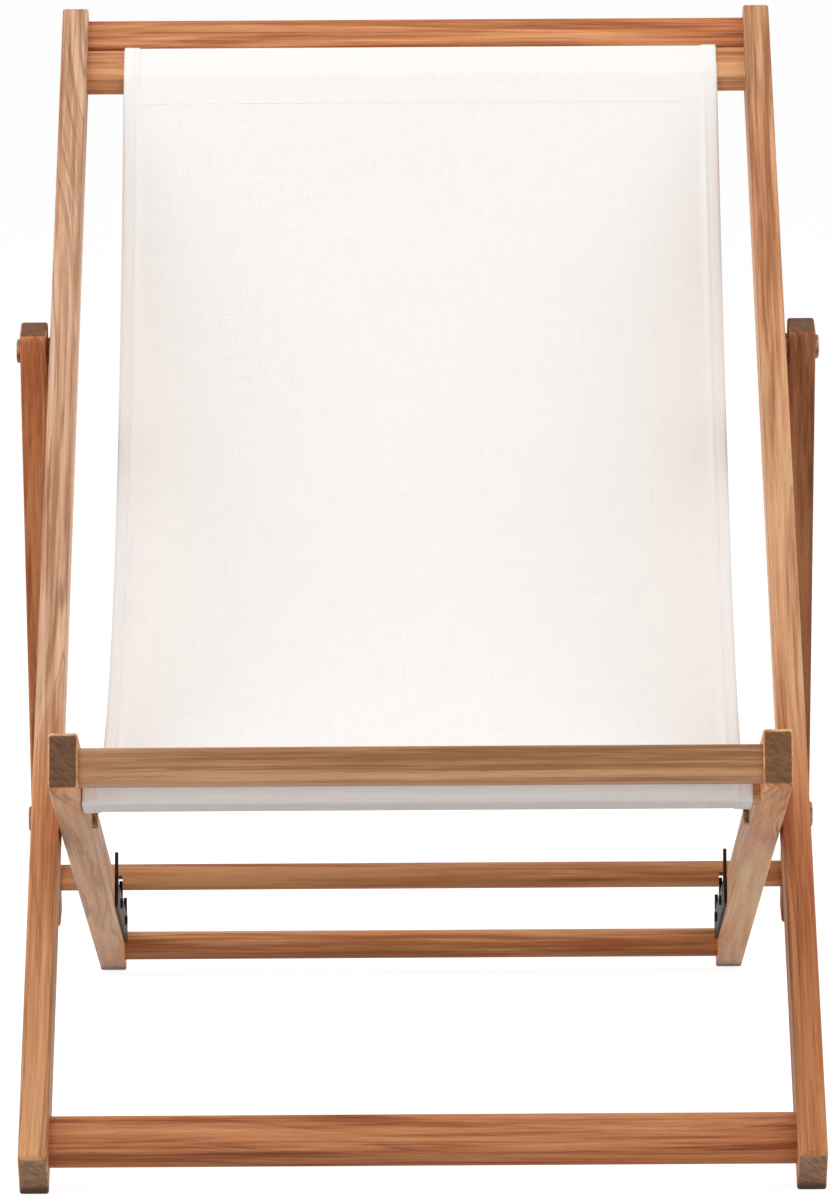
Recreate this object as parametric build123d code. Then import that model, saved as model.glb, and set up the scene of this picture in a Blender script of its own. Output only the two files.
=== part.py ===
from build123d import *
import os
from math import atan2, cos, degrees, hypot, radians, sin, sqrt

# Folding deck chair: a long back frame, a seat frame nested inside it, a prop frame outside it
# and a canvas sling. X runs across the chair, Y from the front feet to the back and Z up.
# The origin is on the floor, in the middle of the chair's width and of the long rails' run.

# Rails
long_rail_length = 1170.0
seat_rail_length = 912.0
rail_depth = 40.0
rail_thickness = 20.0
prop_depth = 34.0
prop_thickness = 20.0
end_round = 5.0
edge_round = 2.0

# Stance: slopes of the rails, the floor distance between the feet and the level cut under each foot
long_slope = 38.5
seat_slope = 17.9
foot_spread = 868.0
foot_cut = 2.5

# Widths
frame_width = 550.0
main_washer_thickness = 2.5
prop_washer_thickness = 2.5

# Crossbars: the face lies along the rails, the thickness across their depth
bottom_bar_face = 34.0
bottom_bar_thickness = 18.0
bottom_bar_place = 32.0
top_bar_face = 31.0
top_bar_thickness = 18.0
top_bar_place = 19.0
upper_sling_bar_face = 34.0
upper_sling_bar_thickness = 18.0
upper_sling_bar_place = 55.0
front_bar_face = 20.0
front_bar_thickness = 25.0
front_bar_place = 16.0
front_bar_drop = 2.0
lower_sling_bar_face = 34.0
lower_sling_bar_thickness = 18.0
lower_sling_bar_place = 75.0
lower_sling_bar_drop = 10.0
rear_bar_diameter = 22.0
rear_bar_place = 32.0
rear_bar_drop = 4.0
bar_edge_round = 3.0

# Round tenons on the bars' ends, in blind holes in the rails
tenon_diameter = 12.0
tenon_length = 12.0
tenon_clearance = 0.05
tenon_end_gap = 0.5

# Prop frame: where it hinges below the long rails' top end, and how far its bar lies
# from the seat rails' rear end
prop_pivot_place = 364.0
prop_bar_diameter = 20.0
prop_bar_reserve = 167.0
prop_bar_lift = 0.3
prop_head = 18.0
prop_tail = 35.0

# Notch brackets on the inner faces of the seat rails
bracket_thickness = 2.5
bracket_low = -4.0
bracket_high = 16.0
bracket_margin = 4.0
tooth_width = 9.0
tooth_ramp = 6.0
tooth_pitch = 90.0
tooth_gap = 1.0
stop_tooth_height = 18.0
notch_tooth_height = 9.0
notch_teeth = 2
slot_side_gap = 0.8
slot_top_gap = 1.2

# Bracket screws
screw_diameter = 3.5
screw_length = 14.0
screw_head_diameter = 8.0
screw_head_height = 2.0
screw_clearance = 0.05

# Pivots
bolt_diameter = 8.0
bolt_clearance = 0.05
main_head_diameter = 18.0
main_head_height = 2.5
prop_head_diameter = 18.0
prop_head_height = 3.0
head_round = 1.6
washer_diameter = 20.0
washer_clearance = 0.1
nut_width = 13.0
nut_height = 4.0
nut_wall = 1.0
insert_diameter = 12.0
insert_length = 16.0
insert_clearance = 0.05
insert_end_gap = 0.5

# Canvas sling
sling_side_gap = 0.5
sling_thickness = 1.5
sling_clearance = 0.3
sling_sag = 179.0
sling_arcs = 6

# Worked-out places across the chair
long_outer = frame_width / 2
long_inner = long_outer - rail_thickness
seat_outer = long_inner - main_washer_thickness
seat_inner = seat_outer - rail_thickness
prop_inner = long_outer + prop_washer_thickness
prop_outer = prop_inner + prop_thickness
sling_width = 2 * (seat_inner - nut_height - sling_side_gap)
half_depth = rail_depth / 2
prop_bar_radius = prop_bar_diameter / 2


class Run:
    """A straight rail's run in the side view: points by the distance along it and across it."""

    def __init__(self, start, slope):
        self.start = start
        self.slope = slope
        self.along = (cos(radians(slope)), sin(radians(slope)))
        self.across = (-self.along[1], self.along[0])

    def point(self, distance, height=0.0):
        return (
            self.start[0] + distance * self.along[0] + height * self.across[0],
            self.start[1] + distance * self.along[1] + height * self.across[1],
        )

    def plane(self, x):
        start_y, start_z = self.start
        return Plane((x, start_y, start_z), x_dir=(0, *self.along), z_dir=(1, 0, 0))


def crossing(first, second):
    """Distances along two runs to the point where their centre lines cross."""
    gap_y = second.start[0] - first.start[0]
    gap_z = second.start[1] - first.start[1]
    turn = first.along[0] * second.along[1] - first.along[1] * second.along[0]
    on_first = (gap_y * second.along[1] - gap_z * second.along[0]) / turn
    on_second = (gap_y * first.along[1] - gap_z * first.along[0]) / turn
    return on_first, on_second


# Side view: the long rails start at the front feet, the seat rails at their front ends
long_cos = cos(radians(long_slope))
long_sin = sin(radians(long_slope))
seat_cos = cos(radians(seat_slope))
seat_sin = sin(radians(seat_slope))
long_foot_z = half_depth * long_cos - foot_cut
long_foot_y = -long_rail_length / 2 * long_cos
front_corner_y = long_foot_y + half_depth * long_sin
rear_corner_y = front_corner_y + foot_spread
seat_front_y = rear_corner_y + half_depth * seat_sin - seat_rail_length * seat_cos
seat_front_z = half_depth * seat_cos - foot_cut + seat_rail_length * seat_sin
long_run = Run((long_foot_y, long_foot_z), long_slope)
seat_run = Run((seat_front_y, seat_front_z), -seat_slope)
main_pivot_on_long, main_pivot_on_seat = crossing(long_run, seat_run)
prop_pivot_on_long = long_rail_length - prop_pivot_place
prop_bar_place = seat_rail_length - prop_bar_reserve
prop_bar_height = half_depth + prop_bar_lift + prop_bar_radius
prop_pivot_point = long_run.point(prop_pivot_on_long)
prop_bar_point = seat_run.point(prop_bar_place, prop_bar_height)
prop_reach_y = prop_bar_point[0] - prop_pivot_point[0]
prop_reach_z = prop_bar_point[1] - prop_pivot_point[1]
prop_reach = hypot(prop_reach_y, prop_reach_z)
prop_run = Run(prop_pivot_point, degrees(atan2(prop_reach_z, prop_reach_y)))
prop_rail_length = prop_head + prop_reach + prop_tail


def both_sides(right):
    """The right-hand piece and its mirror image on the left."""
    return right, mirror(right, about=Plane.YZ)


def rod(run, distance, height, diameter, x_from, x_to):
    """A round rod across the chair, centred on a point of a run."""
    circle = Pos(distance, height) * Circle(diameter / 2)
    return extrude(run.plane(x_from) * circle, amount=x_to - x_from)


def rail(run, begin, length, depth, thickness, inner_x):
    """A right-hand rail with rounded ends and edges."""
    outline = Pos(begin + length / 2, 0) * RectangleRounded(length, depth, end_round)
    blank = extrude(run.plane(inner_x) * outline, amount=thickness)
    return fillet(blank.edges(), edge_round)


def below_floor():
    """Everything under the floor, for the level cut of the feet."""
    reach = long_rail_length + seat_rail_length
    return Pos(0, 0, -reach / 2) * Box(reach, 2 * reach, reach)


def tenon_hole(run, distance, height, inner_x):
    """The blind hole for a bar's tenon, from a rail's inner face."""
    depth = tenon_length + tenon_end_gap
    width = tenon_diameter + 2 * tenon_clearance
    return rod(run, distance, height, width, inner_x, inner_x + depth)


def tenons(run, distance, height, inner_x):
    """The two round tenons at a bar's ends."""
    right = rod(run, distance, height, tenon_diameter, inner_x, inner_x + tenon_length)
    return right + mirror(right, about=Plane.YZ)


def flat_bar(run, distance, height, face, thickness, inner_x):
    """A flat crossbar between two rails, with its tenons."""
    outline = Pos(distance, height) * RectangleRounded(face, thickness, bar_edge_round)
    body = extrude(run.plane(-inner_x) * outline, amount=2 * inner_x)
    return body + tenons(run, distance, height, inner_x)


def round_bar(run, distance, height, diameter, inner_x):
    """A round crossbar between two rails, with its tenons."""
    body = rod(run, distance, height, diameter, -inner_x, inner_x)
    return body + tenons(run, distance, height, inner_x)


# Places of the bars: the distance along their run and the height across it
bottom_bar_at = (bottom_bar_place, 0)
top_bar_at = (long_rail_length - top_bar_place, 0)
upper_sling_bar_at = (long_rail_length - upper_sling_bar_place, 0)
front_bar_at = (front_bar_place, -front_bar_drop)
lower_sling_bar_at = (lower_sling_bar_place, -lower_sling_bar_drop)
rear_bar_at = (seat_rail_length - rear_bar_place, -rear_bar_drop)
prop_bar_at = (prop_reach, 0)
main_on_long = (main_pivot_on_long, 0)
main_on_seat = (main_pivot_on_seat, 0)
prop_on_long = (prop_pivot_on_long, 0)
prop_on_prop = (0, 0)

# Notch brackets: the stop tooth stands in front of the bar, the notch teeth behind it
notch_start = prop_bar_place + prop_bar_radius + tooth_gap
stop_start = notch_start - tooth_pitch
tooth_starts = [(stop_start, stop_tooth_height)]
for step in range(notch_teeth):
    tooth_starts.append((notch_start + step * tooth_pitch, notch_tooth_height))
bracket_begin = stop_start - bracket_margin
bracket_end = tooth_starts[-1][0] + tooth_width + tooth_ramp + bracket_margin
bracket_middle = (bracket_low + bracket_high) / 2
screw_places = []
for (tooth_start, _), (next_start, _) in zip(tooth_starts, tooth_starts[1:]):
    screw_places.append((tooth_start + next_start + tooth_width + tooth_ramp) / 2)
bracket_inner = seat_inner - bracket_thickness


def bolt_hole(run, at, x_from, x_to):
    """A pivot bolt's hole with its running clearance."""
    return rod(run, *at, bolt_diameter + 2 * bolt_clearance, x_from, x_to)


def long_rail():
    """The right-hand long rail: tenon holes, both pivot holes and the level foot."""
    body = rail(long_run, 0, long_rail_length, rail_depth, rail_thickness, long_inner)
    for at in (bottom_bar_at, top_bar_at, upper_sling_bar_at):
        body -= tenon_hole(long_run, *at, long_inner)
    body -= bolt_hole(long_run, main_on_long, long_inner, long_outer)
    insert_hole = insert_diameter + 2 * insert_clearance
    insert_depth = insert_length + insert_end_gap
    body -= rod(long_run, *prop_on_long, insert_hole, long_outer - insert_depth, long_outer)
    return body - below_floor()


def seat_rail():
    """The right-hand seat rail: tenon holes, the pivot hole, screw holes and the level foot."""
    body = rail(seat_run, 0, seat_rail_length, rail_depth, rail_thickness, seat_inner)
    for at in (front_bar_at, lower_sling_bar_at, rear_bar_at):
        body -= tenon_hole(seat_run, *at, seat_inner)
    body -= bolt_hole(seat_run, main_on_seat, seat_inner, seat_outer)
    pilot = screw_diameter + 2 * screw_clearance
    for place in screw_places:
        body -= rod(seat_run, place, bracket_middle, pilot, seat_inner, seat_inner + screw_length)
    return body - below_floor()


def prop_rail():
    """The right-hand prop rail: its pivot hole and the prop bar's tenon hole."""
    body = rail(prop_run, -prop_head, prop_rail_length, prop_depth, prop_thickness, prop_inner)
    body -= tenon_hole(prop_run, *prop_bar_at, prop_inner)
    return body - bolt_hole(prop_run, prop_on_prop, prop_inner, prop_outer)


def prop_crossbar():
    """The round prop bar, slotted underneath where it passes over the brackets' teeth."""
    body = round_bar(prop_run, *prop_bar_at, prop_bar_diameter, prop_inner)
    slot_width = bracket_thickness + 2 * slot_side_gap
    slot_top = half_depth + notch_tooth_height + slot_top_gap
    slot_low = prop_bar_height - prop_bar_diameter
    outline = Pos(prop_bar_place, (slot_low + slot_top) / 2)
    outline *= Rectangle(2 * prop_bar_diameter, slot_top - slot_low)
    slot = extrude(seat_run.plane(bracket_inner - slot_side_gap) * outline, amount=slot_width)
    for side in both_sides(slot):
        body -= side
    return body


def notch_bracket():
    """The right-hand bracket: a strip with one tall stop tooth and the notch teeth behind it."""
    length = bracket_end - bracket_begin
    height = bracket_high - bracket_low
    outline = Pos(bracket_begin + length / 2, bracket_middle) * RectangleRounded(length, height, end_round)
    for start, tooth_height in tooth_starts:
        tip = half_depth + tooth_height
        corners = [
            (start, bracket_middle),
            (start, tip),
            (start + tooth_width / 2, tip),
            (start + tooth_width, half_depth),
            (start + tooth_width + tooth_ramp, bracket_high),
            (start + tooth_width + tooth_ramp, bracket_middle),
        ]
        outline += make_face(Polyline(*corners, close=True))
    plate = extrude(seat_run.plane(bracket_inner) * outline, amount=bracket_thickness)
    hole = screw_diameter + 2 * screw_clearance
    for place in screw_places:
        plate -= rod(seat_run, place, bracket_middle, hole, bracket_inner, seat_inner)
    return plate


def bracket_screw(place):
    """A pan-head screw through the right-hand bracket into the seat rail."""
    head_end = bracket_inner - screw_head_height
    head = rod(seat_run, place, bracket_middle, screw_head_diameter, head_end, bracket_inner)
    rim = head.edges().group_by(Axis.X)[0]
    head = fillet(rim, screw_head_height / 2)
    tip = seat_inner + screw_length - bracket_thickness
    return head + rod(seat_run, place, bracket_middle, screw_diameter, bracket_inner, tip)


def domed_head(run, at, diameter, height, outer_x):
    """A low bolt head on a rail's outer face, rounded at its rim."""
    head = rod(run, *at, diameter, outer_x, outer_x + height)
    rim = head.edges().group_by(Axis.X)[-1]
    return fillet(rim, min(head_round, 0.8 * height))


def washer(run, at, x_from, x_to):
    """A plain washer on a pivot bolt."""
    ring = rod(run, *at, washer_diameter, x_from, x_to)
    return ring - rod(run, *at, bolt_diameter + 2 * washer_clearance, x_from, x_to)


def main_bolt():
    """The right-hand main pivot bolt: through the long rail, the washer and the seat rail."""
    head = domed_head(long_run, main_on_long, main_head_diameter, main_head_height, long_outer)
    tip = seat_inner - nut_height + nut_wall
    return head + rod(long_run, *main_on_long, bolt_diameter, tip, long_outer)


def main_nut():
    """The cap nut on the seat rail's inner face."""
    outline = Pos(*main_on_long) * RegularPolygon(nut_width / sqrt(3), 6)
    body = extrude(long_run.plane(seat_inner - nut_height) * outline, amount=nut_height)
    bore_end = seat_inner - nut_height + nut_wall
    return body - bolt_hole(long_run, main_on_long, bore_end, seat_inner)


def prop_bolt():
    """The right-hand prop pivot bolt: through the prop rail and washer into the insert."""
    head = domed_head(long_run, prop_on_long, prop_head_diameter, prop_head_height, prop_outer)
    tip = long_outer - insert_length
    return head + rod(long_run, *prop_on_long, bolt_diameter, tip, prop_outer)


def prop_insert():
    """The threaded sleeve in the long rail's outer face."""
    sleeve = rod(long_run, *prop_on_long, insert_diameter, long_outer - insert_length, long_outer)
    return sleeve - bolt_hole(long_run, prop_on_long, long_outer - insert_length, long_outer)


def sling_loop(run, at, face, thickness):
    """The side view of the canvas round a sling bar."""
    inner = RectangleRounded(
        face + 2 * sling_clearance, thickness + 2 * sling_clearance, bar_edge_round + sling_clearance
    )
    grow = 2 * (sling_clearance + sling_thickness)
    outer_round = bar_edge_round + sling_clearance + sling_thickness
    outer = RectangleRounded(face + grow, thickness + grow, outer_round)
    return run.plane(-sling_width / 2) * (Pos(*at) * (outer - inner))


def sling_sheet():
    """The side view of the canvas hanging between the two bars, sagging as a parabola."""
    upper_lift = upper_sling_bar_thickness / 2 + sling_clearance + sling_thickness / 2
    lower_lift = lower_sling_bar_thickness / 2 + sling_clearance + sling_thickness / 2
    upper_edge = upper_sling_bar_at[0] - upper_sling_bar_face / 2 + bar_edge_round
    lower_edge = lower_sling_bar_at[0] + lower_sling_bar_face / 2 - bar_edge_round
    upper_y, upper_z = long_run.point(upper_edge, upper_sling_bar_at[1] + upper_lift)
    lower_y, lower_z = seat_run.point(lower_edge, lower_sling_bar_at[1] + lower_lift)

    def side_point(share, offset):
        y = lower_y + share * (upper_y - lower_y)
        z = lower_z + share * (upper_z - lower_z) - 4 * sling_sag * share * (1 - share)
        rise = upper_z - lower_z - 4 * sling_sag * (1 - 2 * share)
        run_y = upper_y - lower_y
        length = hypot(run_y, rise)
        return (0, y - offset * rise / length, z + offset * run_y / length)

    half = sling_thickness / 2
    edges = []
    for offset in (half, -half):
        for arc in range(sling_arcs):
            shares = [(2 * arc + part) / (2 * sling_arcs) for part in range(3)]
            edges.append(ThreePointArc(*[side_point(share, offset) for share in shares]))
    for share in (0, 1):
        edges.append(Line(side_point(share, half), side_point(share, -half)))
    return Pos(-sling_width / 2, 0, 0) * make_face(edges)


def sling():
    """The canvas: a loop round each bar and the hanging sheet between them."""
    upper = sling_loop(long_run, upper_sling_bar_at, upper_sling_bar_face, upper_sling_bar_thickness)
    lower = sling_loop(seat_run, lower_sling_bar_at, lower_sling_bar_face, lower_sling_bar_thickness)
    across = (1, 0, 0)
    body = extrude(sling_sheet(), amount=sling_width, dir=across)
    for loop in (upper, lower):
        body += extrude(loop, amount=sling_width, dir=across)
    return body


def pair(right):
    """A left-hand and a right-hand piece in one node."""
    return Compound(children=list(both_sides(right)))


nodes = {
    "bottom_crossbar": flat_bar(
        long_run, *bottom_bar_at, bottom_bar_face, bottom_bar_thickness, long_inner
    ),
    "top_crossbar": flat_bar(long_run, *top_bar_at, top_bar_face, top_bar_thickness, long_inner),
    "upper_sling_bar": flat_bar(
        long_run, *upper_sling_bar_at, upper_sling_bar_face, upper_sling_bar_thickness, long_inner
    ),
    "front_crossbar": flat_bar(
        seat_run, *front_bar_at, front_bar_face, front_bar_thickness, seat_inner
    ),
    "lower_sling_bar": flat_bar(
        seat_run, *lower_sling_bar_at, lower_sling_bar_face, lower_sling_bar_thickness, seat_inner
    ),
    "rear_crossbar": round_bar(seat_run, *rear_bar_at, rear_bar_diameter, seat_inner),
    "prop_crossbar": prop_crossbar(),
    "main_pivot_bolts": pair(main_bolt()),
    "main_pivot_washers": pair(washer(long_run, main_on_long, seat_outer, long_inner)),
    "main_pivot_nuts": pair(main_nut()),
    "prop_pivot_bolts": pair(prop_bolt()),
    "prop_pivot_washers": pair(washer(long_run, prop_on_long, long_outer, prop_inner)),
    "prop_pivot_inserts": pair(prop_insert()),
    "sling": sling(),
}
for name, right in (
    ("long_rail", long_rail()),
    ("seat_rail", seat_rail()),
    ("prop_rail", prop_rail()),
    ("notch_bracket", notch_bracket()),
):
    nodes[name + "_right"], nodes[name + "_left"] = both_sides(right)
screws = []
for place in screw_places:
    screws.extend(both_sides(bracket_screw(place)))
nodes["bracket_screws"] = Compound(children=screws)

os.makedirs("parts", exist_ok=True)
for name, node in nodes.items():
    export_step(node, f"parts/{name}.step")

print("main pivot", long_run.point(main_pivot_on_long))
print("prop pivot", prop_pivot_point)
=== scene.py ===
from math import atan2, cos, hypot, pi, radians, sin, tan

import bpy
from mathutils import Matrix, Vector, noise


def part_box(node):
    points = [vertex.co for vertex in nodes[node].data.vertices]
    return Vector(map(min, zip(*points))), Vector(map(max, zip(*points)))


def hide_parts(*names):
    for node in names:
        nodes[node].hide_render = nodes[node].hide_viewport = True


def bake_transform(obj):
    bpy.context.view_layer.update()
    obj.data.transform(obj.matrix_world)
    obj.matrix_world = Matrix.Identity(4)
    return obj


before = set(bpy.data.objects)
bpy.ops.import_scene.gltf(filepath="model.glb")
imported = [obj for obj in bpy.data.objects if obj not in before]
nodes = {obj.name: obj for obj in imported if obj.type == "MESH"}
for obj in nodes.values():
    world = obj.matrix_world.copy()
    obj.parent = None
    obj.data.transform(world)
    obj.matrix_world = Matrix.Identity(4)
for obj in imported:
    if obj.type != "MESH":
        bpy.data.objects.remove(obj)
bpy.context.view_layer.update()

print("frame loaded:", len(nodes), "nodes")


# a colour given in screen values, 0 to 255, turned to the linear values that shaders use
def screenColour(red, green, blue):
    linear = []
    for level in (red, green, blue):
        share = level / 255
        linear.append(share / 12.92 if share <= 0.04045 else ((share + 0.055) / 1.055) ** 2.4)
    return (*linear, 1.0)


# one output socket; arithmetic on it adds Math nodes to the finish it belongs to
class Wire:
    def __init__(self, finish, socket):
        self.finish = finish
        self.socket = socket

    def maths(self, operation, *values):
        return self.finish.node("ShaderNodeMath", {"operation": operation}, dict(enumerate(values)))

    def __add__(self, other):
        return self.maths("ADD", self, other)

    def __radd__(self, other):
        return self.maths("ADD", other, self)

    def __sub__(self, other):
        return self.maths("SUBTRACT", self, other)

    def __rsub__(self, other):
        return self.maths("SUBTRACT", other, self)

    def __mul__(self, other):
        return self.maths("MULTIPLY", self, other)

    def __rmul__(self, other):
        return self.maths("MULTIPLY", other, self)

    def __abs__(self):
        return self.maths("ABSOLUTE", self)

    def sine(self):
        return self.maths("SINE", self)

    def larger(self, other):
        return self.maths("MAXIMUM", self, other)

    # 0 below low and 1 above high, with a smooth step between
    def step(self, low, high):
        settings = {"interpolation_type": "SMOOTHSTEP"}
        sockets = {"Value": self, "From Min": low, "From Max": high}
        return self.finish.node("ShaderNodeMapRange", settings, sockets)


# a node tree and the few ways of adding to it
class Finish:
    def __init__(self, owner):
        self.owner = owner
        owner.use_nodes = True
        self.tree = owner.node_tree
        self.tree.nodes.clear()

    # any node: its type, its settings, the values or links of its sockets, and the wanted output
    def node(self, kind, settings=None, sockets=None, out=0):
        made = self.tree.nodes.new(kind)
        for name, value in (settings or {}).items():
            if name == "stops":
                self.setStops(made.color_ramp, value)
            else:
                setattr(made, name, value)
        for name, value in (sockets or {}).items():
            if isinstance(value, Wire):
                self.tree.links.new(value.socket, made.inputs[name])
            else:
                made.inputs[name].default_value = value
        return Wire(self, made.outputs[out]) if made.outputs else None

    def setStops(self, ramp, stops):
        while len(ramp.elements) < len(stops):
            ramp.elements.new(1.0)
        for element, (place, colour) in zip(ramp.elements, stops):
            element.position = place
            element.color = colour

    def vector(self, x, y, z):
        return self.node("ShaderNodeCombineXYZ", None, {"X": x, "Y": y, "Z": z})

    def along(self, point, direction):
        settings = {"operation": "DOT_PRODUCT"}
        return self.node("ShaderNodeVectorMath", settings, {0: point, 1: direction}, "Value")

    def cloud(self, vector, scale=1.0, detail=2.0, roughness=0.5):
        sockets = {"Vector": vector, "Scale": scale, "Detail": detail, "Roughness": roughness}
        return self.node("ShaderNodeTexNoise", None, sockets)

    def ramp(self, factor, places, colours):
        return self.node("ShaderNodeValToRGB", {"stops": list(zip(places, colours))}, {"Fac": factor})

    def mix(self, factor, first, second, blend="MIX"):
        settings = {"data_type": "RGBA", "blend_type": blend}
        return self.node("ShaderNodeMix", settings, {0: factor, 6: first, 7: second}, 2)

    def bump(self, height, distance):
        return self.node("ShaderNodeBump", None, {"Height": height, "Distance": distance})

    def principled(self, sockets):
        return self.node("ShaderNodeBsdfPrincipled", None, sockets)

    def output(self, shader, kind="ShaderNodeOutputMaterial"):
        self.node(kind, None, {"Surface": shader})
        return self.owner


def newMaterial(name):
    return Finish(bpy.data.materials.new(name))


# slopes of the three frames' rails in the side view; the props fall 0.4 m over 0.12 m
slopes = {"long": radians(38.5), "seat": radians(-17.9), "prop": atan2(-0.4, 0.12)}
chairSide = Vector((1, 0, 0))
chairUp = Vector((0, 0, 1))


def railAlong(run):
    return Vector((0, cos(slopes[run]), sin(slopes[run])))


def railAcross(run):
    return Vector((0, -sin(slopes[run]), cos(slopes[run])))


# oiled hardwood: growth layers, fibres and pores run along the piece, and its ends are greyer;
# a pair of scales is features to a metre along the piece and across it
woodGrain = {
    "driftScales": (2.2, 6.0),
    "layersPerMetre": 62.0,
    "layerTilt": 0.55,
    "layerRun": 0.7,
    "wander": 3.4,  # how far the layers wander along the piece
    "streakScales": (5.0, 190.0),
    "fibreScales": (16.0, 620.0),
    "poreScales": (70.0, 1500.0),
    "poreLevels": (0.60, 0.74),
    "boardScales": (1.9, 3.0),
    "toneShares": (0.42, 0.32, 0.14, 0.12),  # of layers, streaks, fibres and the whole board
    "toneStops": (0.42, 0.50, 0.58),
    "lineLevel": 0.48,
    "lineWidth": (0.004, 0.022),
    "lineScales": (3.5, 30.0),
    "lineZones": (0.45, 0.60),
    "lineShare": 0.42,
    "flushScales": (2.6, 24.0),
    "flushZones": (0.42, 0.66),
    "flushShare": 0.55,
    "poreShare": 0.16,
    "lowEnd": (-0.03, 0.10),  # metres along a long rail between which its redder part fades out
    "endFacing": (0.72, 0.93),
    "ringDensity": 6.0,
    "ringWander": 2.0,
    "ringSpeckle": 160.0,
    "ringStops": (0.32, 0.70),
    "endShare": 0.95,
    # painted contact shadow at the feet: the heights over which it fades out, and its strength
    "contactShadowHeight": (0.003, 0.008),
    "contactShadowShare": 0.7,
    "roughness": 0.52,
    "endRoughness": 0.74,
    "roughShares": (0.25, 0.2, 0.1),  # of fibres, streaks and pores
    "bumpShares": (0.6, 0.4, 0.5),
    "bumpDepth": 0.0003,
    "shine": 0.18,
}


def makeWood(name, look, along, across, side, seed):
    wood = newMaterial(name)
    place = wood.node("ShaderNodeTexCoord", None, None, "Object")
    facing = wood.node("ShaderNodeTexCoord", None, None, "Normal")
    run = wood.along(place, along)
    u = run + seed
    v = wood.along(place, across)
    w = wood.along(place, side)

    # noise drawn out along the piece
    def drawnOut(scales, detail, roughness=0.5):
        alongScale, acrossScale = scales
        stretched = wood.vector(u * alongScale, v * acrossScale, w * acrossScale)
        return wood.cloud(stretched, detail=detail, roughness=roughness)

    drift = drawnOut(woodGrain["driftScales"], 1.0) - 0.5
    spread = (v + w * woodGrain["layerTilt"]) * woodGrain["layersPerMetre"]
    layerPlace = wood.vector(spread + drift * woodGrain["wander"], u * woodGrain["layerRun"], seed)
    layers = wood.cloud(layerPlace, detail=4.0, roughness=0.62)
    streaks = drawnOut(woodGrain["streakScales"], 3.0, 0.6)
    fibres = drawnOut(woodGrain["fibreScales"], 2.0, 0.6)
    pores = drawnOut(woodGrain["poreScales"], 1.0, 0.6).step(*woodGrain["poreLevels"])
    board = drawnOut(woodGrain["boardScales"], 1.0)
    ofLayers, ofStreaks, ofFibres, ofBoard = woodGrain["toneShares"]
    tone = layers * ofLayers + streaks * ofStreaks + fibres * ofFibres + board * ofBoard
    colour = wood.ramp(tone, woodGrain["toneStops"], (look["dark"], look["middle"], look["light"]))
    # dark lines where growth layers meet, in some places only
    lines = 1.0 - abs(layers - woodGrain["lineLevel"]).step(*woodGrain["lineWidth"])
    lines = lines * drawnOut(woodGrain["lineScales"], 1.0).step(*woodGrain["lineZones"])
    colour = wood.mix(lines * woodGrain["lineShare"], colour, look["pore"])
    # redder zones, and a redder lower part on the long rails
    flush = drawnOut(woodGrain["flushScales"], 2.0).step(*woodGrain["flushZones"])
    colour = wood.mix(flush * woodGrain["flushShare"], colour, look["flush"], "MULTIPLY")
    if "low" in look:
        colour = wood.mix(1.0 - run.step(*woodGrain["lowEnd"]), colour, look["low"], "MULTIPLY")
    colour = wood.mix(pores * woodGrain["poreShare"], colour, look["pore"])
    # sawn ends: the fibres stand on end and soak up more oil and dirt
    atEnd = abs(wood.along(facing, along)).step(*woodGrain["endFacing"])
    ringRun = spread * woodGrain["ringDensity"] + drift * woodGrain["ringWander"]
    ringPlace = wood.vector(ringRun, v * woodGrain["ringSpeckle"], w * woodGrain["ringSpeckle"])
    rings = wood.cloud(ringPlace, detail=4.0, roughness=0.65)
    endColour = wood.ramp(rings, woodGrain["ringStops"], (look["endDark"], look["endLight"]))
    colour = wood.mix(atEnd * woodGrain["endShare"], colour, endColour)
    # painted contact shadow: darker within the last millimetres above the floor
    contactShadowMask = 1.0 - wood.along(place, chairUp).step(*woodGrain["contactShadowHeight"])
    colour = wood.mix(contactShadowMask * woodGrain["contactShadowShare"], colour, look["contactShadow"])
    ofFibres, ofStreaks, ofPores = woodGrain["roughShares"]
    roughness = woodGrain["roughness"] + (fibres - 0.5) * ofFibres + (streaks - 0.5) * ofStreaks
    roughness = roughness + pores * ofPores
    roughness = roughness + atEnd * (woodGrain["endRoughness"] - woodGrain["roughness"])
    ofFibres, ofStreaks, ofPores = woodGrain["bumpShares"]
    height = fibres * ofFibres + streaks * ofStreaks - pores * ofPores
    sockets = {
        "Base Color": colour,
        "Roughness": roughness,
        "Normal": wood.bump(height, woodGrain["bumpDepth"]),
        "Specular IOR Level": woodGrain["shine"],
    }
    return wood.output(wood.principled(sockets))


# tones of the pieces: the rails are paler, the bars redder, the front bar browner
darkEnds = {
    "pore": screenColour(92, 54, 32),
    "flush": screenColour(252, 228, 208),
    # the colour of the painted contact shadow at the feet
    "contactShadow": screenColour(66, 46, 36),
    "endDark": screenColour(84, 58, 45),
    "endLight": screenColour(126, 90, 65),
}
footEnds = {
    **darkEnds,
    "endDark": screenColour(120, 92, 72),
    "endLight": screenColour(178, 142, 114),
}
honeyEnds = {
    **darkEnds,
    "endDark": screenColour(98, 68, 48),
    "endLight": screenColour(142, 102, 70),
}


def woodTone(dark, middle, light, ends):
    shades = {"dark": dark, "middle": middle, "light": light}
    return {**{shade: screenColour(*colour) for shade, colour in shades.items()}, **ends}


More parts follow.
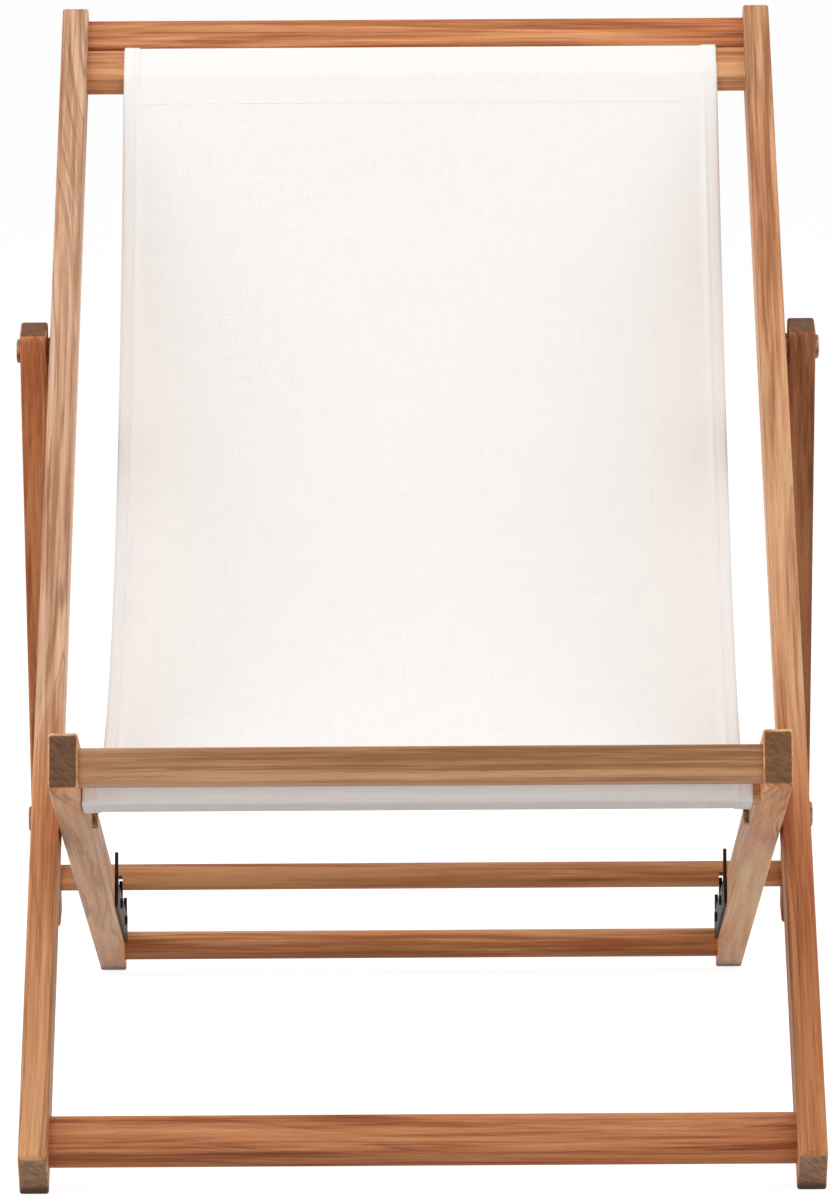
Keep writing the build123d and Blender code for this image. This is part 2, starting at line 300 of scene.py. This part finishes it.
longPale = {**footEnds, "low": screenColour(254, 230, 198)}
longAmber = {**footEnds, "low": screenColour(240, 210, 184)}
woodTones = {
    "pale": woodTone((168, 116, 82), (211, 167, 135), (230, 194, 163), longPale),
    "amber": woodTone((160, 103, 66), (207, 155, 114), (226, 182, 142), longAmber),
    "sandy": woodTone((186, 126, 84), (227, 173, 127), (238, 200, 162), darkEnds),
    "honey": woodTone((204, 140, 92), (240, 182, 130), (248, 210, 166), honeyEnds),
    "orange": woodTone((150, 82, 44), (199, 130, 84), (222, 163, 114), darkEnds),
    "brown": woodTone((152, 106, 70), (190, 140, 100), (208, 164, 124), darkEnds),
    "red": woodTone((138, 72, 38), (196, 126, 82), (215, 151, 103), darkEnds),
    # a pale tone for the upper sling bar and the rear crossbar; on the rear crossbar its paleness is
    # partly painted light
    "bright": woodTone((176, 108, 64), (220, 156, 108), (236, 190, 144), darkEnds),
    # the right prop rail's tone: partly its darker wood, partly painted shade of that rail
    "deepAndShaded": woodTone((100, 52, 30), (140, 84, 52), (172, 116, 78), darkEnds),
}
# each wooden node: its tone, the run it belongs to, and whether it lies along it or across the chair
woodPieces = {
    "long_rail_left": ("pale", "long", "along"),
    "long_rail_right": ("amber", "long", "along"),
    "seat_rail_left": ("sandy", "seat", "along"),
    "seat_rail_right": ("honey", "seat", "along"),
    "prop_rail_left": ("red", "prop", "along"),
    # the right prop rail's darker tone is partly painted shade
    "prop_rail_right": ("deepAndShaded", "prop", "along"),
    "top_crossbar": ("orange", "long", "across"),
    "upper_sling_bar": ("bright", "long", "across"),
    "bottom_crossbar": ("red", "long", "across"),
    "front_crossbar": ("brown", "seat", "across"),
    "lower_sling_bar": ("brown", "seat", "across"),
    # the rear crossbar's pale tone is partly painted light, lifting the shade it has under the seat
    "rear_crossbar": ("bright", "seat", "across"),
    "prop_crossbar": ("orange", "prop", "across"),
}
seedStep = 3.7  # metres between the pieces' places in the noise


def dressNode(name, material):
    mesh = nodes[name].data
    mesh.materials.clear()
    mesh.materials.append(material)


for number, (name, (tone, run, lie)) in enumerate(woodPieces.items()):
    directions = (railAlong(run), railAcross(run), chairSide)
    if lie == "across":
        directions = (chairSide, railAcross(run), railAlong(run))
    dressNode(name, makeWood("wood_" + name, woodTones[tone], *directions, seed=seedStep * number))
print("wood done:", len(woodPieces), "pieces")


# dark lacquer on the brackets, rubbed to bare brown here and there
lacquerLook = {
    "coat": screenColour(44, 28, 22),
    "rubbed": screenColour(98, 66, 50),
    "rubScale": 90.0,
    "rubLevels": (0.56, 0.70),
    "rubShare": 0.6,
    "rubMetal": 0.3,
    "rubRoughness": 0.2,
    "speckleScale": 900.0,
    "speckleRoughness": 0.3,
    "roughness": 0.5,
    "shine": 0.12,
    "bumpDepth": 0.0002,
}


def makeLacquer():
    look = lacquerLook
    lacquer = newMaterial("dark_lacquer")
    place = lacquer.node("ShaderNodeTexCoord", None, None, "Object")
    rubbed = lacquer.cloud(place, look["rubScale"], 4.0, 0.65).step(*look["rubLevels"])
    speckle = lacquer.cloud(place, look["speckleScale"], 2.0)
    roughness = look["roughness"] + (speckle - 0.5) * look["speckleRoughness"]
    sockets = {
        "Base Color": lacquer.mix(rubbed * look["rubShare"], look["coat"], look["rubbed"]),
        "Roughness": roughness + rubbed * look["rubRoughness"],
        "Metallic": rubbed * look["rubMetal"],
        "Normal": lacquer.bump(speckle, look["bumpDepth"]),
        "Specular IOR Level": look["shine"],
    }
    return lacquer.output(lacquer.principled(sockets))


# bolts, nuts and washers: dull bronze plating with turning marks and darker stains
platingLook = {
    "bright": screenColour(158, 116, 84),
    "stained": screenColour(92, 62, 44),
    "stainScale": 140.0,
    "stainLevels": (0.42, 0.66),
    "stainRoughness": 0.25,
    "stainDulling": 0.3,
    "marksPerMetre": 2600.0,
    "markRoughness": 0.2,
    "roughness": 0.38,
    "metal": 0.85,
    "bumpDepth": 0.0001,
}


def makePlating():
    look = platingLook
    plating = newMaterial("bronze_plating")
    place = plating.node("ShaderNodeTexCoord", None, None, "Object")
    stain = plating.cloud(place, look["stainScale"], 4.0, 0.6).step(*look["stainLevels"])
    marks = plating.cloud(plating.along(place, chairSide) * look["marksPerMetre"] + stain, 1.0, 2.0)
    roughness = look["roughness"] + stain * look["stainRoughness"]
    sockets = {
        "Base Color": plating.mix(stain, look["bright"], look["stained"]),
        "Roughness": roughness + (marks - 0.5) * look["markRoughness"],
        "Metallic": look["metal"] - stain * look["stainDulling"],
        "Normal": plating.bump(marks, look["bumpDepth"]),
    }
    return plating.output(plating.principled(sockets))


darkLacquer = makeLacquer()
for name in ("notch_bracket_left", "notch_bracket_right", "bracket_screws"):
    dressNode(name, darkLacquer)
bronzePlating = makePlating()
for name in ("bolts", "washers", "nuts"):
    dressNode("main_pivot_" + name, bronzePlating)
for name in ("bolts", "washers", "inserts"):
    dressNode("prop_pivot_" + name, bronzePlating)
print("metal done")


# canvas: plain weave with slubs, on the cloth's own flat coordinates in metres
canvasLook = {
    "thread": screenColour(249, 246, 243),
    "gap": screenColour(245, 241, 238),
    "seam": screenColour(241, 237, 232),
    "yarn": 0.0011,
    "slubScales": (700.0, 26.0),  # features to a metre, across a yarn and along it
    "weaveShare": 0.08,
    "gapLevels": (0.30, 0.60),
    "roughness": 0.88,
    "slubRoughness": 0.2,
    "bumpShares": (0.35, 0.9),  # of weave and slubs
    "bumpDepth": 0.00016,
    "sheen": 0.12,
    "shine": 0.25,
}


def makeCanvas(name, ownColour):
    look = canvasLook
    canvas = newMaterial(name)
    flat = canvas.node("ShaderNodeUVMap", {"uv_map": "clothFlat"})
    u = canvas.along(flat, (1, 0, 0))
    v = canvas.along(flat, (0, 1, 0))
    turns = pi / look["yarn"]
    weave = (u * turns).sine() * (v * turns).sine()
    fine, drawn = look["slubScales"]
    lengthwise = canvas.cloud(canvas.vector(u * fine, v * drawn, 0.0), detail=2.0)
    crosswise = canvas.cloud(canvas.vector(u * drawn, v * fine, 4.0), detail=2.0)
    slubs = (lengthwise + crosswise) * 0.5
    share = slubs + weave * look["weaveShare"]
    ofWeave, ofSlubs = look["bumpShares"]
    sockets = {
        "Base Color": canvas.mix(share.step(*look["gapLevels"]), look["gap"], ownColour),
        "Roughness": look["roughness"] + (slubs - 0.5) * look["slubRoughness"],
        "Normal": canvas.bump(weave * ofWeave + slubs * ofSlubs, look["bumpDepth"]),
        "Sheen Weight": look["sheen"],
        "Specular IOR Level": look["shine"],
    }
    return canvas.output(canvas.principled(sockets))


# the sling: a sewn pocket round each bar and the sheet hanging between them
slingCut = {
    "width": 0.4595,
    "waist": 0.0004,  # how far each side draws in at the middle
    "slide": (0.0034, -0.0022),  # how far the cloth has slid along the upper and the lower bar
    "thickness": 0.0013,
    "gap": 0.0003,  # between a bar and the cloth round it
    "sag": 0.179,
    "barFace": 0.034,
    "barThickness": 0.018,
    "barRound": 0.003,
    "edgeRound": 0.004,  # where the sheet bends over a bar's edge
    "pocketSeam": 0.026,  # from the bar's edge to the seam
    "flapEnd": 0.034,
    "flapRound": 0.006,
    "hem": 0.0115,
    "hemStitch": 0.0085,
    "hemRise": 0.0007,
    "stitchDip": 0.0004,
    "stitchSpread": 0.0012,
    "edgeDrop": 0.0035,  # slack of the hems at the middle
    "edgePower": 7,
    "ripple": 0.0011,
    "rippleScales": (5.0, 9.0),  # across the cloth and along it
    "pullScales": (26.0, 4.0),
    "pullShare": 0.6,
    "settle": 3,  # how soon the ripples reach their full height away from a bar
    "hangSteps": 96,
    "step": 0.0065,
    "edgeColumns": (0.0008, 0.003, 0.0055),  # distances from a side edge
    "hemColumns": (-0.0002, 0.0006),  # distances from the hem's inner edge
    "innerColumns": 0.006,
    "columns": 36,
}


# a bar seen from the side: its middle, and points by the distance along and across its run
class BarEnd:
    def __init__(self, node, run):
        low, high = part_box(node)
        self.middle = (low + high) / 2
        self.middle.x = 0
        self.along = railAlong(run)
        self.across = railAcross(run)

    def point(self, along, across):
        return self.middle + self.along * along + self.across * across


upperBar = BarEnd("upper_sling_bar", "long")
lowerBar = BarEnd("lower_sling_bar", "seat")
clothOffset = slingCut["gap"] + slingCut["thickness"] / 2
halfFace = slingCut["barFace"] / 2
halfThick = slingCut["thickness"] / 2
halfWidth = slingCut["width"] / 2
liftOff = slingCut["barThickness"] / 2 + clothOffset
upperEnd = upperBar.point(slingCut["barRound"] - halfFace, liftOff)
lowerEnd = lowerBar.point(halfFace - slingCut["barRound"], liftOff)


# the hanging sheet, from the upper bar at 0 to the lower bar at 1
def hangPoint(share):
    point = upperEnd.lerp(lowerEnd, share)
    point.z -= 4 * slingCut["sag"] * share * (1 - share)
    return point


def sideNormal(direction):
    return Vector((0, direction.z, -direction.y)).normalized()


# points on the sheet's underside near a bar, for the pocket's flap
def flapPoints(shares):
    nudge = 0.001
    points = []
    for share in shares:
        direction = hangPoint(share + nudge) - hangPoint(share - nudge)
        points.append(hangPoint(share) - sideNormal(direction) * slingCut["thickness"])
    return points


# the pocket's corners round a bar: under it, and over its far edge; end is 1 or -1 along the run
def pocketCorners(bar, end):
    reach = (halfFace + clothOffset) * end
    return [bar.point(-reach, -liftOff), bar.point(reach, -liftOff), bar.point(reach, liftOff)]


# a corner turned into an arc of the given radius, which takes less than half of each side
arcLook = {
    "leastTurn": 0.02,
    "mostShare": 0.45,
    "pieceTurn": radians(14),
}


def roundCorner(before, corner, after, radius):
    inward = (before - corner).normalized()
    outward = (after - corner).normalized()
    turn = pi - inward.angle(outward)
    if turn < arcLook["leastTurn"]:
        return [corner]
    most = arcLook["mostShare"]
    cut = min(radius * tan(turn / 2), most * (before - corner).length, most * (after - corner).length)
    radius = cut / tan(turn / 2)
    centre = corner + (inward + outward).normalized() * hypot(radius, cut)
    first = corner + inward * cut - centre
    pieces = max(2, round(turn / arcLook["pieceTurn"]))
    axis = first.cross(corner + outward * cut - centre).normalized()
    turns = [Matrix.Rotation(turn * piece / pieces, 3, axis) for piece in range(pieces + 1)]
    return [centre + part @ first for part in turns]


# the whole run of the cloth in the side view, from one flap's end to the other's
def clothRun():
    span = (upperEnd - lowerEnd).length
    seamShare = slingCut["pocketSeam"] / span
    flapShare = slingCut["flapEnd"] / span
    upperFlap = flapPoints((flapShare, seamShare))
    lowerFlap = flapPoints((1 - seamShare, 1 - flapShare))
    steps = slingCut["hangSteps"]
    hang = [hangPoint(step / steps) for step in range(steps + 1)]
    barRadius = slingCut["barRound"] + clothOffset
    corners = [(point, slingCut["flapRound"]) for point in upperFlap]
    corners += [(point, barRadius) for point in pocketCorners(upperBar, 1)]
    corners += [(hang[0], slingCut["edgeRound"])] + [(point, 0) for point in hang[1:-1]]
    corners += [(hang[-1], slingCut["edgeRound"])]
    corners += [(point, barRadius) for point in reversed(pocketCorners(lowerBar, -1))]
    corners += [(point, slingCut["flapRound"]) for point in lowerFlap]
    run = [corners[0][0]]
    for (before, _), (corner, radius), (after, _) in zip(corners, corners[1:], corners[2:]):
        run += roundCorner(before, corner, after, radius) if radius else [corner]
    run.append(corners[-1][0])
    return run


# extra points so that neighbours lie about a step apart
def divide(run, step):
    points = [run[0]]
    for point in run[1:]:
        start = points[-1]
        count = max(1, round((point - start).length / step))
        points += [start.lerp(point, part / count) for part in range(1, count + 1)]
    return points


clothPath = divide(clothRun(), slingCut["step"])
clothLengths = [0.0]
for start, end in zip(clothPath, clothPath[1:]):
    clothLengths.append(clothLengths[-1] + (end - start).length)
clothLength = clothLengths[-1]
clothNormals = []
for number in range(len(clothPath)):
    ahead = clothPath[min(number + 1, len(clothPath) - 1)]
    behind = clothPath[max(number - 1, 0)]
    clothNormals.append(sideNormal(ahead - behind))
print("cloth run:", round(clothLength, 4), "m in", len(clothPath), "rows")


def lengthNear(place):
    return clothLengths[min(range(len(clothPath)), key=lambda row: (clothPath[row] - place).length)]


hangStart = lengthNear(upperEnd)
hangEnd = lengthNear(lowerEnd)


# where the sheet hangs free: 0 at the bars and 1 at the middle
def hangShare(length):
    share = (length - hangStart) / (hangEnd - hangStart)
    return 4 * share * (1 - share) if 0 < share < 1 else 0.0


# the sideways slide goes over from the upper bar's to the lower bar's, mostly near the lower one
def slideShare(length):
    return min(1.0, max(0.0, (length - hangStart) / (hangEnd - hangStart))) ** 3


# a noise over the flat cloth, in metres of lift
def waviness(x, length, scales, seed):
    across, along = scales
    return noise.noise(Vector((x * across, length * along, seed))) * slingCut["ripple"]


# the cloth's middle surface; side is from -1 to 1 across the width
def clothPoint(row, side):
    length = clothLengths[row]
    free = hangShare(length)
    upperSlide, lowerSlide = slingCut["slide"]
    middle = upperSlide + (lowerSlide - upperSlide) * slideShare(length)
    x = side * (halfWidth - slingCut["waist"] * free) + middle
    ripple = waviness(x, length, slingCut["rippleScales"], 2.5)
    pull = waviness(x, length, slingCut["pullScales"], 8.1) * slingCut["pullShare"]
    drop = slingCut["edgeDrop"] * free * abs(side) ** slingCut["edgePower"]
    lift = (ripple + pull) * min(1.0, free * slingCut["settle"]) - drop
    point = clothPath[row] + clothNormals[row] * lift
    point.x = x
    return point


# how much a point at a distance from the side edge stands proud of the plain sheet
def hemRise(inFromEdge):
    if inFromEdge > slingCut["hem"]:
        return 0.0
    fromStitch = abs(inFromEdge - slingCut["hemStitch"])
    dip = slingCut["stitchDip"] * max(0.0, 1 - fromStitch / slingCut["stitchSpread"])
    return slingCut["hemRise"] - dip


# places across the sheet, from -1 to 1: close together in the hems and even between them
def sideColumns():
    spread = slingCut["stitchSpread"]
    fromEdge = list(slingCut["edgeColumns"])
    fromEdge += [slingCut["hemStitch"] + offset for offset in (-spread, 0, spread)]
    fromEdge += [slingCut["hem"] + offset for offset in slingCut["hemColumns"]]
    inner = [part / slingCut["columns"] * 2 - 1 for part in range(slingCut["columns"] + 1)]
    innerLimit = 1 - (slingCut["hem"] + slingCut["innerColumns"]) / halfWidth
    left = [distance / halfWidth - 1 for distance in fromEdge]
    middle = [share * innerLimit for share in inner]
    return left + middle + [-share for share in reversed(left)]


# a piece of cloth or thread; flats are its points' places on the flat cloth
def makePiece(name, points, faces, flats):
    mesh = bpy.data.meshes.new(name)
    mesh.from_pydata(points, [], faces)
    layer = mesh.uv_layers.new(name="clothFlat")
    for loop in mesh.loops:
        layer.data[loop.index].uv = flats[loop.vertex_index]
    mesh.shade_smooth()
    mesh.update()
    piece = bpy.data.objects.new(name, mesh)
    bpy.context.scene.collection.objects.link(piece)
    return piece


def turned(face, kept):
    return face if kept else tuple(reversed(face))


def makeSling():
    columns = sideColumns()
    count = len(columns)
    rows = len(clothPath)
    under = rows * count
    points = []
    flats = []
    faces = []
    # the upper face with its hems, then the plain underside
    for up in (1, -1):
        for row in range(rows):
            for side in columns:
                rise = hemRise((1 - abs(side)) * halfWidth) if up > 0 else 0.0
                points.append(clothPoint(row, side) + clothNormals[row] * (halfThick + rise) * up)
                flats.append((side * halfWidth, clothLengths[row]))
    for row in range(rows - 1):
        for column in range(count - 1):
            corner = row * count + column
            faces.append((corner, corner + count, corner + count + 1, corner + 1))
            corner += under
            faces.append((corner, corner + 1, corner + count + 1, corner + count))
    # folded side edges, a little proud of the two faces
    for first in (0, count - 1):
        side = columns[first] / abs(columns[first])
        edge = len(points)
        for row in range(rows):
            points.append(clothPoint(row, side) + clothNormals[row] * slingCut["hemRise"] / 2)
            flats.append((side * halfWidth, clothLengths[row]))
        for row in range(rows - 1):
            upper = row * count + first
            strip = (upper, edge + row, edge + row + 1, upper + count)
            lower = (edge + row, upper + under, upper + under + count, edge + row + 1)
            faces += [turned(strip, side < 0), turned(lower, side < 0)]
        for row in (0, rows - 1):
            upper = row * count + first
            face = (upper, upper + under, edge + row)
            faces.append(turned(face, (side < 0) == (row == 0)))
    # raw ends of the two flaps
    for row in (0, rows - 1):
        for column in range(count - 1):
            upper = row * count + column
            face = (upper, upper + 1, upper + 1 + under, upper + under)
            faces.append(turned(face, row == 0))
    return makePiece("canvas_sling", points, faces, flats)


# lockstitch thread: one small bead of thread for each stitch, on both faces
threadLook = {
    "pitch": 0.0036,
    "length": 0.0029,
    "radius": 0.00042,
    "thinnest": 0.25,  # share of the radius at a stitch's ends
    "sides": 6,
    "rings": 4,
    "endGap": 0.006,  # from the cloth's ends to the first and last stitch
    "hemGap": 0.002,  # from a hem to the seams across the sheet
}


# the thread's mesh while it is being sewn
class Thread:
    def __init__(self):
        self.points = []
        self.faces = []
        self.flats = []

    def addStitch(self, centre, direction, normal, flat):
        across = direction.cross(normal).normalized()
        first = len(self.points)
        sides = threadLook["sides"]
        rings = threadLook["rings"]
        for ring in range(rings + 1):
            share = ring / rings * 2 - 1
            swell = max(threadLook["thinnest"], (1 - abs(share) ** 3)) * threadLook["radius"]
            middle = centre + direction * share * threadLook["length"] / 2
            for step in range(sides):
                angle = 2 * pi * step / sides
                offset = across * cos(angle) * swell
                self.points.append(middle + offset + normal * sin(angle) * swell)
                self.flats.append((flat[0], flat[1] + share * threadLook["length"] / 2))
        for ring in range(rings):
            for step in range(sides):
                here = first + ring * sides + step
                beside = first + ring * sides + (step + 1) % sides
                self.faces.append((here, beside, beside + sides, here + sides))
        last = first + rings * sides
        self.faces.append(tuple(first + step for step in reversed(range(sides))))
        self.faces.append(tuple(last + step for step in range(sides)))


# the row of the cloth's run at a length, and the share of the way to the next row
def rowAt(length):
    row = max(number for number, value in enumerate(clothLengths) if value <= length + 1e-9)
    row = min(row, len(clothPath) - 2)
    return row, (length - clothLengths[row]) / (clothLengths[row + 1] - clothLengths[row])


def surfaceAt(length, side):
    row, share = rowAt(length)
    here = clothPoint(row, side)
    there = clothPoint(row + 1, side)
    normal = clothNormals[row].lerp(clothNormals[row + 1], share).normalized()
    return here.lerp(there, share), (there - here).normalized(), normal


def makeStitching():
    thread = Thread()
    hemSide = 1 - slingCut["hemStitch"] / halfWidth
    proud = halfThick + slingCut["hemRise"] - slingCut["stitchDip"]
    count = int((clothLength - 2 * threadLook["endGap"]) / threadLook["pitch"])
    for side in (-hemSide, hemSide):
        for stitch in range(count):
            length = threadLook["endGap"] + stitch * threadLook["pitch"]
            point, direction, normal = surfaceAt(length, side)
            flat = (side * halfWidth, length)
            thread.addStitch(point + normal * proud, direction, normal, flat)
            if hangStart < length < hangEnd:
                thread.addStitch(point - normal * halfThick, direction, normal, flat)
    # the pockets' seams, across the sheet and across the flap under it
    seams = (
        hangStart + slingCut["pocketSeam"],
        slingCut["flapEnd"] - slingCut["pocketSeam"],
        hangEnd - slingCut["pocketSeam"],
        clothLength - slingCut["flapEnd"] + slingCut["pocketSeam"],
    )
    width = slingCut["width"] - 2 * slingCut["hem"] - 2 * threadLook["hemGap"]
    count = int(width / threadLook["pitch"])
    for length in seams:
        for stitch in range(count):
            side = ((stitch + 0.5) / count * width - width / 2) / halfWidth
            point, _, normal = surfaceAt(length, side)
            flat = (side * halfWidth, length)
            thread.addStitch(point + normal * halfThick, chairSide, normal, flat)
    return makePiece("sling_stitching", thread.points, thread.faces, thread.flats)


sling = makeSling()
sling.data.materials.append(makeCanvas("plain_canvas", canvasLook["thread"]))
stitching = makeStitching()
stitching.data.materials.append(makeCanvas("sewing_thread", canvasLook["seam"]))
# the cloth opens out about the main pivot when the chair folds; these two places on the hanging sheet
# bound that stretch, but nothing here folds it
turnStart = hangPoint(0.22)
turnEnd = hangPoint(0.86)
for piece in (sling, stitching):
    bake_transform(piece)
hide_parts("sling")
stitchingSize = len(stitching.data.vertices)
print("sling done:", len(sling.data.vertices), "points,", stitchingSize, "in the stitching")


# the floor is white to the camera and keeps the shadow; the room is evenly bright
stageLook = {
    "floorSize": 60.0,
    "floorColour": 0.62,
    "floorRoughness": 0.85,
    "grainScale": 40.0,
    "grainRoughness": 0.1,
    "seenColour": 0.3,
    "seenRoughness": 0.95,
    "seenGlow": 0.9,
    "roomLight": 0.28,
}


def seenByCamera(finish):
    seen = finish.node("ShaderNodeLightPath", None, None, "Is Camera Ray")
    for ray in ("Is Glossy Ray", "Is Transmission Ray"):
        seen = seen.larger(finish.node("ShaderNodeLightPath", None, None, ray))
    return seen


def grey(level):
    return (level, level, level, 1.0)


def makeFloor():
    half = stageLook["floorSize"] / 2
    corners = [(-half, -half, 0), (half, -half, 0), (half, half, 0), (-half, half, 0)]
    mesh = bpy.data.meshes.new("floor")
    mesh.from_pydata(corners, [], [(0, 1, 2, 3)])
    floor = bpy.data.objects.new("floor", mesh)
    bpy.context.scene.collection.objects.link(floor)
    paint = newMaterial("floor_paint")
    place = paint.node("ShaderNodeTexCoord", None, None, "Object")
    grain = paint.cloud(place, stageLook["grainScale"], 3.0)
    roughness = stageLook["floorRoughness"] + (grain - 0.5) * stageLook["grainRoughness"]
    lit = paint.principled({"Base Color": grey(stageLook["floorColour"]), "Roughness": roughness})
    sockets = {
        "Base Color": grey(stageLook["seenColour"]),
        "Roughness": stageLook["seenRoughness"],
        "Specular IOR Level": 0.0,
        "Emission Color": grey(1.0),
        "Emission Strength": stageLook["seenGlow"],
    }
    seen = paint.principled(sockets)
    shader = paint.node("ShaderNodeMixShader", None, {0: seenByCamera(paint), 1: lit, 2: seen})
    mesh.materials.append(paint.output(shader))


def makeRoom():
    world = bpy.data.worlds.new("studio")
    bpy.context.scene.world = world
    room = Finish(world)
    glows = []
    for strength in (stageLook["roomLight"], 1.0):
        sockets = {"Color": grey(1.0), "Strength": strength}
        glows.append(room.node("ShaderNodeBackground", None, sockets))
    light, white = glows
    shader = room.node("ShaderNodeMixShader", None, {0: seenByCamera(room), 1: light, 2: white})
    room.output(shader, "ShaderNodeOutputWorld")


# soft boxes, with the power in watts
softBoxes = {
    "overheadBox": {"place": (-0.3, -0.45, 3.2), "aim": (0, 0.1, 0.3), "size": 2.4, "power": 26.0},
    "frontLeftBox": {"place": (-1.8, -4.2, 1.7), "aim": (0, 0, 0.25), "size": 1.6, "power": 39.0},
    "frontRightBox": {"place": (2.1, -4.0, 1.5), "aim": (0, 0, 0.25), "size": 1.5, "power": 26.0},
    "leftBox": {"place": (-2.3, 0.2, 1.9), "aim": (0, 0.3, 0.15), "size": 2.0, "power": 32.0},
    "rightBox": {"place": (2.3, 0.2, 1.8), "aim": (0, 0.3, 0.15), "size": 2.0, "power": 30.0},
}


def makeLights():
    for name, box in softBoxes.items():
        lamp = bpy.data.lights.new(name, "AREA")
        lamp.size = box["size"]
        lamp.energy = box["power"]
        light = bpy.data.objects.new(name, lamp)
        light.location = box["place"]
        aim = Vector(box["aim"]) - Vector(box["place"])
        light.rotation_euler = aim.to_track_quat("-Z", "Y").to_euler()
        bpy.context.scene.collection.objects.link(light)


# a long lens straight in front, looking a little down; the picture leans by a third of a degree
cameraView = {
    "place": (-0.0024, -5.799, 1.115),
    "pitch": 7.538,
    "lean": -0.34,
    "lens": 240.0,
    "sensor": 36.0,
    "farthest": 100.0,
}


def makeCamera():
    data = bpy.data.cameras.new("camera")
    data.lens = cameraView["lens"]
    data.sensor_width = cameraView["sensor"]
    data.clip_end = cameraView["farthest"]
    camera = bpy.data.objects.new("camera", data)
    turn = Matrix.Rotation(radians(90 - cameraView["pitch"]), 4, "X")
    turn = turn @ Matrix.Rotation(radians(cameraView["lean"]), 4, "Z")
    camera.matrix_world = Matrix.Translation(cameraView["place"]) @ turn
    bpy.context.scene.collection.objects.link(camera)
    bpy.context.scene.camera = camera


makeFloor()
makeRoom()
makeLights()
makeCamera()
bpy.context.scene.view_settings.view_transform = "Standard"
print("stage, light and camera done")
